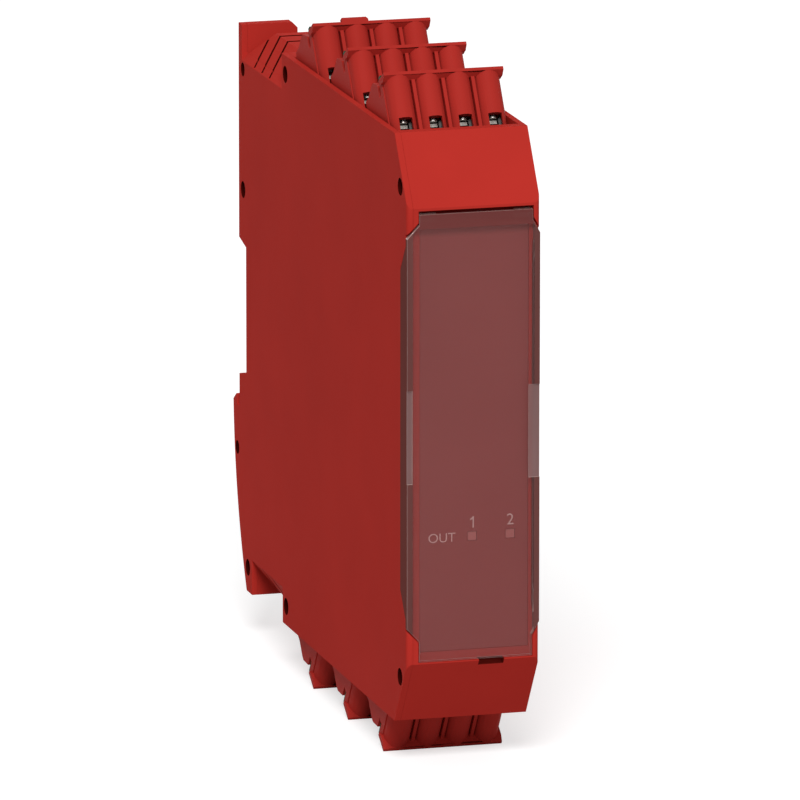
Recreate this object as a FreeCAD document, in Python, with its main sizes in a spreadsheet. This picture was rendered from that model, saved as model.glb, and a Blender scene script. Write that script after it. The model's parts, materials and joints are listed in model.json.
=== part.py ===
import FreeCAD, Part
import math
import os
import re

import Sketcher

# Plug-in safety relay module for a 35 mm mounting rail.
# Frame: X across the width, Y from the front (minus) to the rail (plus), Z up.
# The origin is the centre of the rail seat, halfway across the width.
# Depths named "..._deep" are measured backwards from the front face.

SIZES = [
    # the case
    ("case_width", 22.6, "across both side walls"),
    ("case_tall", 99.0, "height of the side walls"),
    ("case_deep", 107.0, "front face to rail seat"),
    ("side_wall", 1.05, "thickness of each side wall"),
    ("shell_wall", 1.6, "thickness of the other outer walls"),
    ("edge_round", 0.9, "rounding of the upright front edges"),
    ("front_flat", 76.5, "height of the upright part of the front"),
    ("slope_deep", 7.67, "depth over which the sloped fronts run back"),
    ("front_block", 4.0, "depth of the front wall with its recesses"),
    # the rear block, its cut corners and its vents
    ("block_deep", 74.6, "front of the closed rear block"),
    ("corner_deep", 78.6, "front end of the cut corners"),
    ("corner_low", 43.3, "height where the cut corners start"),
    ("corner_in", 4.4, "how far the cut corners reach in"),
    ("block_half", 48.9, "half height of the rear block"),
    ("top_ridge_deep", 98.5, "rear edge of the block's top"),
    ("fin_deep", 104.8, "front face of the upright rear fin"),
    ("fin_reach", 9.9, "width of the fin from the left side"),
    ("fin_chamfer", 1.0, "cut corner of the fin"),
    ("toe_deep", 98.9, "front face of the toe at the bottom"),
    ("bottom_ridge_deep", 93.5, "rear edge of the block's underside"),
    ("vent_wide", 0.9, "width of a vent slot"),
    ("vent_pitch", 4.9, "distance from vent to vent"),
    ("vent_deep", 86.7, "foot of the first vent"),
    ("vent_count", 3, "vents at the top, one more than below"),
    # the rail zone
    ("rail_tall", 35.0, "height of the mounting rail"),
    ("rail_flange", 1.0, "thickness of the rail's flange"),
    ("rail_play", 0.3, "clearance round the flange"),
    ("notch_half", 11.0, "half height of the bus notch"),
    ("notch_slope", 1.0, "height of the notch's sloped ends"),
    ("notch_in", 4.6, "depth of the bus notch"),
    ("foot_reach", 4.1, "foot behind the rail seat"),
    ("foot_lip", 1.3, "height of the foot's ramp"),
    ("foot_slot", 1.5, "width of the flange slot in the foot"),
    ("toe_back", 4.5, "rear corner of the toe in front of the seat"),
    ("foot_round", 78.0, "radius of the foot's back"),
    ("hook_half", 7.0, "half width of the upper hook"),
    ("hook_thick", 2.2, "thickness of the hook and its lip"),
    ("hook_grip", 2.6, "overlap of the hook's lip and the flange"),
    # pegs that hold the side cover
    ("peg_hole", 1.4, "radius of the peg holes"),
    ("peg_play", 0.1, "clearance of a peg in its hole"),
    ("peg_boss", 2.3, "radius of a peg's boss"),
    ("peg_sunk", 0.8, "how far a peg's end lies below the side"),
    # front cover, front plate and lights
    ("cover_left", 9.2, "cover's narrow ends, left of centre"),
    ("cover_right", 10.05, "cover's narrow ends, right of centre"),
    ("cover_top", 37.2, "top edge of the cover"),
    ("hinge_room", 0.6, "space above the cover for it to swing"),
    ("cover_bottom", 37.9, "bottom edge of the cover"),
    ("cover_thick", 1.0, "thickness of the cover"),
    ("cover_gap", 0.15, "gap round the cover"),
    ("flank_top", 33.2, "top of the cover's wide middle"),
    ("flank_bottom", 32.2, "bottom of the cover's wide middle"),
    ("flank_deep", 4.2, "depth of the cover's side flanks"),
    ("flank_thick", 0.85, "thickness of the side flanks"),
    ("flank_taper", 5.8, "height of the flanks' sloped ends"),
    ("shoulder_tall", 2.2, "height of the cover's sloped shoulders"),
    ("hinge_deep", 1.0, "depth of the hinge axis"),
    ("hinge_high", 36.5, "height of the hinge axis"),
    ("hinge_pin", 0.45, "radius of the hinge pins"),
    ("hinge_boss", 0.8, "radius of the hinge bosses"),
    ("hinge_long", 3.0, "length of each hinge boss"),
    ("hinge_play", 0.1, "clearance of the hinge pins"),
    ("grip_half", 7.8, "half height of the finger grips"),
    ("grip_left", 0.9, "width of the left finger grip"),
    ("grip_right", 1.9, "width of the right finger grip"),
    ("grip_sunk", 0.2, "how far the finger grips lie below the face"),
    ("plate_thick", 1.0, "thickness of the printed front plate"),
    ("plate_inset", 0.45, "front plate inside the cover's outline"),
    ("pry_left", 1.0, "left end of the pry notch"),
    ("pry_right", 5.3, "right end of the pry notch"),
    ("pry_tall", 1.0, "height of the pry notch"),
    ("light_size", 1.4, "side of the square lights"),
    ("light_first", 0.17, "first light across the width"),
    ("light_pitch", 6.5, "distance between the lights"),
    ("light_high", -17.4, "height of the lights"),
    # terminal rows
    ("pole_pitch", 5.08, "distance from pole to pole"),
    ("row_pitch", 22.07, "distance from row to row"),
    ("row_deep", 18.4, "lip of the first row"),
    ("lip_half", 57.47, "half height over the plugs' lips"),
    ("plug_tilt", 34.0, "lean of the plugs"),
    ("plug_width", 19.9, "width of a plug's body"),
    ("lip_width", 20.46, "width of a plug's lip"),
    ("lip_thick", 0.55, "thickness of the lip's edge"),
    ("lip_under", 1.1, "depth of the lip's sloped underside"),
    ("plug_thick", 13.8, "front to back of a plug"),
    ("plug_long", 16.0, "length of a plug's body"),
    ("tongue_long", 4.6, "length of a plug's contact end"),
    ("tongue_front", 4.5, "front of the contact end"),
    ("tongue_inset", 0.9, "contact end inside the body's outline"),
    ("valley", 2.7, "depth of the valleys between the columns"),
    ("column_radius", 2.2, "radius of the screw columns"),
    ("column_long", 14.4, "length of the screw columns"),
    ("rib_thick", 0.6, "thickness of the ribs between columns"),
    ("rib_front", 1.0, "front edge of the ribs"),
    ("ridge_start", 5.6, "foot of the plug's latch ridge"),
    ("ridge_peak", 8.0, "front of the ridge's top"),
    ("ridge_end", 11.7, "rear foot of the ridge"),
    ("ridge_rise", 1.5, "height of the latch ridge"),
    ("shoulder_rise", 0.6, "height of the step behind the ridge"),
    ("shaft_radius", 1.6, "radius of the screwdriver shafts"),
    ("shaft_in", 2.35, "shaft axis behind the lip"),
    ("tab_left", 5.1, "left end of the rear lip's tab, left of centre"),
    ("tab_right", 0.5, "right end of the tab, left of centre"),
    ("tab_rise", 0.75, "height of the tab"),
    ("tab_thick", 1.1, "thickness of the tab"),
    ("window_wide", 2.3, "width of a wire window"),
    ("window_top", 8.1, "top of a wire window below the outer face"),
    ("window_tall", 4.2, "height of a wire window"),
    ("chamber_front", 1.1, "front wall of a clamp chamber"),
    ("chamber_wide", 3.2, "width of a clamp chamber"),
    ("chamber_back", 7.0, "rear wall of a clamp chamber"),
    ("chamber_top", 7.6, "top of a clamp chamber"),
    ("chamber_tall", 7.2, "height of a clamp chamber"),
    ("screw_head", 1.45, "radius of a screw head"),
    ("screw_sunk", 3.6, "screw head below the outer face"),
    ("head_tall", 1.7, "height of a screw head"),
    ("screw_shank", 1.0, "radius of a screw shank"),
    ("cage_wide", 2.7, "width of a clamp cage"),
    ("cage_tall", 5.2, "height of a clamp cage"),
    ("cage_wall", 0.5, "wall of a clamp cage"),
    ("cage_front", 2.0, "front of a clamp cage"),
    ("cage_deep", 3.6, "depth of a clamp cage"),
    ("cage_play", 0.3, "top of the cage below its chamber's roof"),
    ("strip_thick", 0.6, "thickness of a contact strip"),
    ("strip_wide", 1.3, "width of a contact strip"),
    ("pin_line", 9.1, "header pins behind the lip"),
    ("pin_size", 1.0, "side of a header pin"),
    ("pin_grip", 0.2, "gap between a pin and its contact"),
    ("pin_top", 13.2, "tip of a header pin below the outer face"),
    ("header_wall", 0.7, "wall of a header"),
    ("header_play", 0.3, "clearance between plug and header"),
    ("header_floor", 1.4, "floor of a header"),
    ("finger_line", 4.9, "latch fingers behind the lip"),
    ("finger_size", 1.0, "depth of a latch finger"),
    ("finger_thick", 0.45, "thickness of a latch finger"),
    ("finger_rise", 1.3, "latch finger above the outer face"),
    ("finger_wall", 0.35, "plug wall outside a latch finger"),
    ("finger_mouth", 2.2, "open top of a finger's channel"),
    ("tail_first", 27.6, "first pin tail below the outer face"),
    ("tail_step", 1.5, "distance from tail to tail"),
    # boards and what they carry
    ("board_thick", 1.6, "thickness of the main board"),
    ("board_face", 8.4, "component face left of centre"),
    ("board_half", 30.0, "half height of the main board"),
    ("board_front", 7.6, "front edge of the main board, deep"),
    ("board_back", 99.0, "rear edge of the main board, deep"),
    ("relay_long", 28.5, "length of a relay"),
    ("relay_tall", 10.8, "height of a relay"),
    ("relay_high", 15.5, "relay above the board"),
    ("relay_gap", 0.8, "gap between relays"),
    ("relay_deep", 38.0, "front end of the relays"),
    ("relay_count", 4, "relays"),
    ("small_board", 1.0, "thickness of the light board"),
    ("small_board_deep", 6.4, "front face of the light board"),
    ("small_board_top", 10.0, "top edge of the light board"),
    ("small_board_low", 23.5, "bottom edge of the light board"),
    ("led_tall", 0.8, "height of a light chip"),
    ("led_size", 1.6, "side of a light chip"),
    ("chip_side", 10.0, "side of a logic chip"),
    ("chip_tall", 1.4, "height of a logic chip"),
    ("chip_deep", 16.0, "front edge of the logic chips"),
    ("can_radius", 4.0, "radius of a capacitor"),
    ("can_tall", 11.0, "height of a capacitor"),
    ("can_deep", 78.0, "axis of the capacitors"),
    # bus connector in the notch
    ("bus_pitch", 3.81, "distance between bus contacts"),
    ("bus_count", 5, "bus contacts"),
    ("bus_half", 9.8, "half height of the bus socket"),
    ("bus_wide", 9.0, "width of the bus socket"),
    ("bus_long", 8.0, "length of the bus socket"),
    ("bus_blade", 0.6, "thickness of a bus contact"),
    ("bus_slit", 1.6, "height of a contact slit"),
    # sliding foot catch and its spring
    ("catch_half", 5.6, "half width of the catch"),
    ("catch_play", 0.3, "clearance round the catch"),
    ("catch_bar", 2.6, "thickness of the catch bar"),
    ("catch_bar_back", 8.9, "rear face of the bar in front of the seat"),
    ("catch_arm", 2.6, "thickness of the catch arm"),
    ("catch_end", 47.6, "lower end of the catch"),
    ("catch_travel", 3.0, "travel of the catch"),
    ("spring_wide", 6.0, "width of the spring"),
    ("spring_strip", 0.5, "thickness of the spring strip"),
    ("spring_tall", 9.0, "free height of the spring"),
    ("spring_deep", 3.6, "depth of the spring"),
    ("spring_back", 3.5, "rear side of the spring in front of the seat"),
    ("ledge_thick", 1.4, "thickness of the spring ledge"),
]

NAMES = {name for name, number, note in SIZES}
ROWS = ["front", "middle", "rear"]
POLES = 4
PEG_PLACES = [
    ("4.3", "41.2"), ("4.3", "-41.2"),
    ("76.3", "46.2"), ("76.3", "-46.2"),
    ("104.2", "20.8"), ("101.6", "-45.2"),
]

doc = FreeCAD.newDocument("safety_relay")
sheet = doc.addObject("Spreadsheet::Sheet", "Sizes")
for line, (name, number, note) in enumerate(SIZES, start=1):
    sheet.set("A%d" % line, note)
    sheet.set("B%d" % line, str(number))
    sheet.setAlias("B%d" % line, name)
doc.recompute()


# ---------------------------------------------------------------- helpers

def named(text):
    """An expression over size names, written for the document."""
    return re.sub(r"[a-z_]+", lambda m: "Sizes." + m[0] if m[0] in NAMES else m[0], text)


def value(text):
    """The present value of an expression over size names."""
    return float(sheet.evalExpression(named(text)))


def bind(thing, field, text):
    thing.setExpression(field, named(text))


def deep(text):
    """Row coordinate of a depth measured from the front face."""
    return "%s - case_deep" % text


def minus(text):
    return "-(%s)" % text


def new_body(label):
    body = doc.addObject("PartDesign::Body", label)
    body.Label = label
    return body


def new_sketch(body, role, offset):
    """A sketch on one of the body's own origin planes, moved along its normal."""
    sketch = body.newObject("Sketcher::SketchObject", "Sketch")
    plane = [f for f in body.Origin.OriginFeatures if f.Role == role][0]
    sketch.AttachmentSupport = [(plane, "")]
    sketch.MapMode = "FlatFace"
    bind(sketch, "AttachmentOffset.Base.z", offset)
    return sketch


def fix_point(sketch, line, corner, place):
    """Dimension one end of a line from the sketch's origin."""
    for kind, text in zip(("DistanceX", "DistanceY"), place):
        rule = Sketcher.Constraint(kind, -1, 1, line, corner, value(text))
        index = sketch.addConstraint(rule)
        bind(sketch, "Constraints[%d]" % index, text)


def arc_between(start, end, radius):
    """Arc of a radius from start to end, bulging to the right of the way there."""
    chord = end - start
    rise = math.sqrt(radius ** 2 - (chord.Length / 2) ** 2)
    side = FreeCAD.Vector(chord.y, -chord.x, 0).normalize()
    middle = (start + end) / 2
    crown = middle + side * (radius - rise)
    return Part.Arc(start, crown, end)


def draw(sketch, loop):
    """Draw a closed loop of points, or a circle given as ("circle", x, y, radius).

    A point may carry a third entry, the radius of an arc that leads to the next point.
    """
    first = sketch.GeometryCount
    if loop[0] == "circle":
        centre = FreeCAD.Vector(value(loop[1]), value(loop[2]), 0)
        sketch.addGeometry(Part.Circle(centre, FreeCAD.Vector(0, 0, 1), value(loop[3])), False)
        fix_point(sketch, first, 3, loop[1:3])
        index = sketch.addConstraint(Sketcher.Constraint("Radius", first, value(loop[3])))
        bind(sketch, "Constraints[%d]" % index, loop[3])
        return
    count = len(loop)
    spots = [FreeCAD.Vector(value(p[0]), value(p[1]), 0) for p in loop]
    ends = []
    for i, point in enumerate(loop):
        start, end = spots[i], spots[(i + 1) % count]
        if len(point) == 3:
            curve = arc_between(start, end, value(point[2]))
            sketch.addGeometry(curve, False)
            turned = (sketch.Geometry[first + i].StartPoint - start).Length > 1e-6
            ends.append((2, 1) if turned else (1, 2))
            index = sketch.addConstraint(Sketcher.Constraint("Radius", first + i, value(point[2])))
            bind(sketch, "Constraints[%d]" % index, point[2])
        else:
            sketch.addGeometry(Part.LineSegment(start, end), False)
            ends.append((1, 2))
    for i in range(count):
        after = (i + 1) % count
        join = Sketcher.Constraint("Coincident", first + i, ends[i][1], first + after, ends[after][0])
        sketch.addConstraint(join)
        fix_point(sketch, first + i, ends[i][0], loop[i][:2])


def many_sided(x, y, radius, sides):
    """A regular outline whose corners lie on a circle."""
    corners = []
    for i in range(sides):
        angle = 360.0 * (i + 0.5) / sides
        across = "%s + (%s)*cos(%.2f)" % (x, radius, angle)
        along = "%s + (%s)*sin(%.2f)" % (y, radius, angle)
        corners.append((across, along))
    return corners


def box(low_a, high_a, low_b, high_b):
    return [(low_a, low_b), (high_a, low_b), (high_a, high_b), (low_a, high_b)]


PLANES = {
    # plane role, sign of its normal along the axis
    "x": ("YZ_Plane", 1),
    "y": ("XZ_Plane", -1),
    "z": ("XY_Plane", 1),
}


def prism(body, axis, loops, start, length, cut=False):
    """Add (or cut) loops extruded from start, by length, towards plus along the axis."""
    role, sign = PLANES[axis]
    sketch = new_sketch(body, role, start if sign > 0 else minus(start))
    for loop in loops:
        draw(sketch, loop)
    kind = "PartDesign::Pocket" if cut else "PartDesign::Pad"
    before = body.Shape.Volume if body.Tip else 0.0
    feature = body.newObject(kind, "Cut" if cut else "Pad")
    feature.Profile = sketch
    feature.Length = value(length)
    bind(feature, "Length", length)
    feature.Reversed = (sign < 0) != cut
    doc.recompute()
    change = body.Shape.Volume - before
    if abs(change) < 1e-6 or (change > 0) == cut:
        raise RuntimeError("%s: %s changes nothing, or the wrong way" % (body.Label, feature.Name))
    return feature


def fillet_edges(body, radius, wanted):
    """Round the edges of the body that the test picks."""
    edges = [i for i, edge in enumerate(body.Shape.Edges, start=1) if wanted(edge)]
    base = body.Tip
    fillet = body.newObject("PartDesign::Fillet", "Rounding")
    fillet.Base = (base, ["Edge%d" % i for i in edges])
    bind(fillet, "Radius", radius)
    doc.recompute()
    return fillet


def upright(edge, x, y):
    """True for a straight edge along Z that stands at x, y."""
    ends = [v.Point for v in edge.Vertexes]
    if len(ends) != 2 or abs(ends[0].x - ends[1].x) > 1e-6:
        return False
    return all(abs(p.x - x) < 1e-4 for p in ends) and all(p.y < y + 1e-4 for p in ends)


# ---------------------------------------------------------------- case

def side_outline():
    """Outline of a side wall, seen along X."""
    half = "case_tall/2"
    seat = "rail_tall/2 + rail_play"
    return [
        (deep("0"), "-front_flat/2"), (deep("slope_deep"), minus(half)),
        (minus("toe_back + 3.1"), minus(half)), (minus("toe_back"), minus(half), "foot_round"),
        ("foot_reach", minus(seat) + " + 0.5"), ("foot_slot + 0.6", minus(seat) + " + 0.5 + foot_lip"),
        ("foot_slot", minus(seat) + " + 0.5 + foot_lip"), ("foot_slot", minus(seat)),
        ("0", minus(seat)),
        ("0", "-notch_half - notch_slope"), ("-notch_in", "-notch_half"),
        ("-notch_in", "notch_half"), ("0", "notch_half + notch_slope"),
        ("0", half), (deep("slope_deep"), half), (deep("0"), "front_flat/2"),
    ]


def cover_seat():
    """Cut-out of a side wall for the cover's flank, seen along X."""
    return [
        (deep("-1"), "flank_top + cover_gap"), (deep("0"), "flank_top + cover_gap"),
        (deep("flank_deep + cover_gap"), "flank_top + cover_gap - flank_taper"),
        (deep("flank_deep + cover_gap"), "-flank_bottom - cover_gap + flank_taper"),
        (deep("0"), "-flank_bottom - cover_gap"), (deep("-1"), "-flank_bottom - cover_gap"),
    ]


def cut_corner(body, side, end):
    """Cut one long corner of the rear block; side and end are +1 or -1."""
    out, up = "%d*" % side, "%d*" % end
    slope = "(block_half - corner_low)/corner_in"
    wedge = [
        (out + "(case_width/2 + 2)", up + "(corner_low - 2*%s)" % slope),
        (out + "(case_width/2 - corner_in)", up + "block_half"),
        (out + "(case_width/2 - corner_in)", up + "(case_tall/2 + 1)"),
        (out + "(case_width/2 + 2)", up + "(case_tall/2 + 1)"),
    ]
    back = "fin_deep" if end > 0 else "toe_deep"
    prism(body, "y", [wedge], deep("corner_deep"), back + " - corner_deep", cut=True)


def vent_loops(end):
    """Leaning vent slots through the rear block's top (+1) or underside (-1)."""
    up = "%d*" % end
    lean = "tan(plug_tilt)"
    rise = "(case_tall/2 + 1 - corner_low)"
    loops = []
    count = int(value("vent_count")) - (1 if end < 0 else 0)
    for i in range(count):
        foot = "vent_deep + %d*vent_pitch" % i
        low, high = up + "corner_low", up + "(corner_low + %s)" % rise
        loops.append([
            (deep(foot), low), (deep(foot + " + vent_wide"), low),
            (deep(foot + " + vent_wide + %s*%s" % (rise, lean)), high),
            (deep(foot + " + %s*%s" % (rise, lean)), high),
        ])
    return loops


def make_side_cover():
    body = new_body("side_cover")
    left = "-case_width/2"
    prism(body, "x", [side_outline()], left, "side_wall")
    prism(body, "x", [cover_seat()], left, "side_wall", cut=True)
    prism(body, "y", [cover_outline("cover_gap")], deep("0"), "cover_thick + cover_gap", cut=True)
    holes = [("circle", deep(y), z, "peg_hole") for y, z in PEG_PLACES]
    prism(body, "x", holes, left, "side_wall", cut=True)
    for end in (1, -1):
        cut_corner(body, -1, end)
    for end in (1, -1):
        prism(body, "x", vent_loops(end), left, "side_wall", cut=True)
    fillet_edges(body, "edge_round", lambda e: upright(e, value(left), value(deep("0"))))
    return body


def cavity_outline():
    """Inside of the case, seen along X; it runs out above and below the terminal rows."""
    wall = "shell_wall"
    run = "(case_tall - front_flat)/2/slope_deep"
    inner = "%s*sqrt(1 + (%s)^2)/(%s)" % (wall, run, run)
    out = "case_tall/2 + 1"
    meet = "front_flat/2 + (front_block - %s)*%s" % (inner, run)
    brow = "slope_deep + %s + 1/(%s)" % (inner, run)
    low = "corner_low - 1.2"
    return [
        (deep("front_block"), minus(meet)), (deep(brow), minus(out)),
        (deep("block_deep"), minus(out)), (deep("block_deep"), minus("board_half + 8")),
        (deep("block_deep + " + wall), minus("board_half + 8")), (deep("block_deep + " + wall), minus(low)),
        (deep("toe_deep - 1.5"), minus(low)), (minus("toe_back + 1.7"), minus(low)),
        (minus("shell_wall"), "-rail_tall/2 - 6"),
        (minus(wall), "-notch_half - notch_slope - " + wall),
        ("-notch_in - " + wall, "-notch_half - " + wall),
        ("-notch_in - " + wall, "notch_half + " + wall), (minus(wall), "notch_half + notch_slope + " + wall),
        (minus(wall), low), (deep("block_deep + " + wall), low),
        (deep("block_deep + " + wall), "board_half + 8"), (deep("block_deep"), "board_half + 8"),
        (deep("block_deep"), out), (deep(brow), out), (deep("front_block"), meet),
    ]


def cover_outline(gap):
    """Front view of the clear cover, grown by a gap and by more where it swings past."""
    left, right, wide = "cover_left + " + gap, "cover_right + " + gap, "case_width/2"
    if gap != "0":
        wide += " + 1"
    top = "cover_top" if gap == "0" else "cover_top + hinge_room"
    bottom = "cover_bottom + " + gap
    # the shoulders keep one slope, so a wider outline carries it on
    slope = "shoulder_tall/(case_width/2 - cover_right)"
    slope_left = "shoulder_tall/(case_width/2 - cover_left)"
    high = "flank_top + shoulder_tall + 3*" + gap
    low = minus("flank_bottom + shoulder_tall + " + gap)
    return [
        (minus(left), minus(bottom)), (right, minus(bottom)),
        (right, low), (wide, "%s + (%s - %s)*%s" % (low, wide, right.replace("+", "-"), slope)),
        (wide, "%s - (%s - %s)*%s" % (high, wide, right.replace("+", "-"), slope)), (right, high),
        (right, top), (minus(left), top), (minus(left), high),
        (minus(wide), "%s - (%s - %s)*%s" % (high, wide, left.replace("+", "-"), slope_left)),
        (minus(wide), "%s + (%s - %s)*%s" % (low, wide, left.replace("+", "-"), slope_left)),
        (minus(left), low),
    ]


def plate_outline(gap):
    """Front view of the printed front plate, grown by a gap."""
    inset = "plate_inset - " + gap
    return box(minus("cover_left - (%s)" % inset), "cover_right - (%s)" % inset,
               minus("cover_bottom - 1 - (%s)" % inset), "hinge_high - hinge_boss - 0.5 - (%s)" % inset)


def light_loops(gap):
    loops = []
    for i in (0, 1):
        across = "light_first + %d*light_pitch" % i
        half = "(light_size/2 + %s)" % gap
        loops.append(box(across + " - " + half, across + " + " + half,
                         "light_high - " + half, "light_high + " + half))
    return loops


def make_housing():
    body = new_body("housing")
    inside = "case_width/2 - side_wall"
    left = minus(inside)
    prism(body, "x", [side_outline()], left, "case_width - side_wall")
    # closed space inside, and its narrower ends under the cut corners
    prism(body, "x", [cavity_outline()], left, "case_width - 2*side_wall", cut=True)
    attic = []
    for up, ridge in (("1*", "top_ridge_deep"), ("-1*", "bottom_ridge_deep")):
        attic.append(box(deep("block_deep + shell_wall"), deep(ridge + " - shell_wall - 2"),
                         up + "(corner_low - 1.2)", up + "(block_half - shell_wall)"))
    narrow = "case_width/2 - corner_in - 0.4"
    prism(body, "x", attic, minus(narrow), "2*(%s)" % narrow, cut=True)
    # lower top and underside behind the rows, falling away to the fin and the toe
    over = "case_tall/2 + 1"
    scoops = [
        [(deep("corner_deep"), "block_half"), (deep("corner_deep"), over),
         (deep("fin_deep"), over), (deep("fin_deep"), "corner_low + 0.6"),
         (deep("top_ridge_deep"), "block_half")],
        [(deep("corner_deep"), "-block_half"), (deep("corner_deep"), minus(over)),
         (deep("toe_deep"), minus(over)), (deep("toe_deep"), "-corner_low - 0.6"),
         (deep("bottom_ridge_deep"), "-block_half")],
    ]
    prism(body, "x", scoops, minus("case_width/2"), "case_width", cut=True)
    for side in (1, -1):
        for end in (1, -1):
            cut_corner(body, side, end)
    for end in (1, -1):
        prism(body, "x", vent_loops(end), minus("case_width/2"), "case_width", cut=True)
    # the fin stands only at the left
    fin = "-case_width/2 + fin_reach"
    fin_cut = [(fin, "corner_low + 0.6"), ("case_width/2 + 1", "corner_low + 0.6"),
               ("case_width/2 + 1", over), (fin + " - fin_chamfer", over),
               (fin + " - fin_chamfer", "case_tall/2"), (fin, "case_tall/2 - fin_chamfer")]
    prism(body, "y", [fin_cut], deep("fin_deep - 0.1"), "case_deep - fin_deep + 0.2", cut=True)
    # seats for the cover, its flank, the plate and the hinge
    prism(body, "y", [cover_outline("cover_gap")], deep("0"), "cover_thick + cover_gap", cut=True)
    prism(body, "x", [cover_seat()], inside, "side_wall", cut=True)
    prism(body, "y", [plate_outline("0.1")], deep("cover_thick"), "plate_thick + 0.3", cut=True)
    hinge_room = box(deep("0.35"), deep("hinge_deep + 1.5"),
                     "hinge_high - hinge_boss - 0.4", "cover_top + hinge_room")
    prism(body, "x", [hinge_room], minus("cover_left + cover_gap"),
          "cover_left + cover_right + 2*cover_gap", cut=True)
    pin_hole = [("circle", deep("hinge_deep"), "hinge_high", "hinge_pin + hinge_play")]
    prism(body, "x", pin_hole, minus("cover_left + cover_gap + 0.7"),
          "cover_left + cover_right + 2*cover_gap + 1.4", cut=True)
    pry = box("pry_left", "pry_right", minus("cover_bottom + cover_gap + pry_tall"), minus("cover_bottom"))
    prism(body, "y", [pry], deep("0"), "cover_thick + 0.8", cut=True)
    prism(body, "y", light_loops("0.1"), deep("0.5"), "front_block", cut=True)
    # openings in the back for the bus socket and the catch
    bus = box("-bus_wide/2 - 0.1", "bus_wide/2 + 0.1", "-bus_half - 0.1", "bus_half + 0.1")
    prism(body, "y", [bus], "-notch_in - 2*shell_wall", "3*shell_wall", cut=True)
    arm_low = "rail_tall/2 + rail_play + catch_arm + catch_travel + catch_play"
    arm = box(minus("catch_half + catch_play"), "catch_half + catch_play", minus(arm_low), "-rail_tall/2 + 3")
    prism(body, "y", [arm], "-catch_bar_back", "catch_bar_back + foot_reach + 1", cut=True)
    bar = box(minus("catch_half + catch_play"), "catch_half + catch_play",
              minus("catch_bar_back + catch_bar + catch_play"), minus("catch_bar_back - catch_play"))
    prism(body, "z", [bar], "-case_tall/2 - 1", "case_tall/2 - 35", cut=True)
    # hook over the rail's upper flange
    top = "rail_tall/2 + rail_play"
    hook = [("-1", top), ("rail_flange + rail_play", top),
            ("rail_flange + rail_play", "rail_tall/2 - hook_grip"),
            ("rail_flange + rail_play + hook_thick*0.6", "rail_tall/2 - hook_grip"),
            ("rail_flange + rail_play + hook_thick", "rail_tall/2 - hook_grip + 1.2"),
            ("rail_flange + rail_play + hook_thick", top + " + hook_thick"),
            ("-1", top + " + hook_thick + 1.5")]
    prism(body, "x", [hook], "-hook_half", "2*hook_half")
    # ledge under the catch spring, and pegs for the side cover
    ledge_top = "rail_tall/2 + rail_play + catch_arm + spring_tall"
    ledge_low = minus(ledge_top + " + ledge_thick")
    ledge = box("-spring_back - spring_deep - 0.3", "0.6", ledge_low, minus(ledge_top))
    prism(body, "x", [ledge], "-spring_wide/2 - 1", "case_width/2 + spring_wide/2 + 0.5")
    bosses = [("circle", deep(y), z, "peg_boss - 0.9") for y, z in PEG_PLACES[:2]]
    bosses += [("circle", deep(y), z, "peg_boss") for y, z in PEG_PLACES[2:]]
    prism(body, "x", bosses, left, "case_width - side_wall - 0.5")
    tips = [("circle", deep(y), z, "peg_hole - peg_play") for y, z in PEG_PLACES]
    prism(body, "x", tips, minus("case_width/2 - peg_sunk"), "side_wall")
    fillet_edges(body, "edge_round", lambda e: upright(e, value("case_width/2"), value(deep("0"))))
    return body


# ---------------------------------------------------------------- front

def make_front_cover():
    body = new_body("front_cover")
    prism(body, "y", [cover_outline("0")], deep("0"), "cover_thick")
    start = "cover_thick/2*flank_taper/flank_deep"
    flank = [
        (deep("cover_thick/2"), "flank_top - " + start), (deep("flank_deep"), "flank_top - flank_taper"),
        (deep("flank_deep"), "-flank_bottom + flank_taper"),
        (deep("cover_thick/2"), "-flank_bottom + " + start),
    ]
    for start in ("-case_width/2", "case_width/2 - flank_thick"):
        prism(body, "x", [flank], start, "flank_thick")
    # finger grips: shallow steps in both edges of the face
    grips = [box("-case_width/2 - 1", "-case_width/2 + grip_left", "-grip_half", "grip_half"),
             box("case_width/2 - grip_right", "case_width/2 + 1", "-grip_half", "grip_half")]
    prism(body, "y", grips, deep("0"), "grip_sunk", cut=True)
    boss = [("circle", deep("hinge_deep"), "hinge_high", "hinge_boss")]
    pin = [("circle", deep("hinge_deep"), "hinge_high", "hinge_pin")]
    prism(body, "x", boss, "-cover_left", "hinge_long")
    prism(body, "x", boss, "cover_right - hinge_long", "hinge_long")
    prism(body, "x", pin, "-cover_left - 0.6", "1.2")
    prism(body, "x", pin, "cover_right - 0.6", "1.2")
    return body


def make_front_plate():
    body = new_body("front_plate")
    prism(body, "y", [plate_outline("0")], deep("cover_thick + 0.3"), "plate_thick")
    prism(body, "y", light_loops("0.1"), deep("cover_thick"), "plate_thick + 1", cut=True)
    return body


def make_light_guides():
    body = new_body("light_guides")
    end = "small_board_deep - led_tall - 0.2"
    prism(body, "y", light_loops("0"), deep("cover_thick + 0.35"), "%s - cover_thick - 0.35" % end)
    return body


def make_lights():
    body = new_body("light_chips")
    loops = light_loops("(led_size - light_size)/2")
    prism(body, "y", loops, deep("small_board_deep - led_tall"), "led_tall")
    return body


def make_light_board():
    body = new_body("light_board")
    shape = box("-board_face", "case_width/2 - side_wall - 1", "-small_board_low", "small_board_top")
    prism(body, "y", [shape], deep("small_board_deep"), "small_board")
    return body


# ---------------------------------------------------------------- terminals

def pole(index):
    return "%.1f*pole_pitch" % (index - (POLES - 1) / 2)


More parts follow.
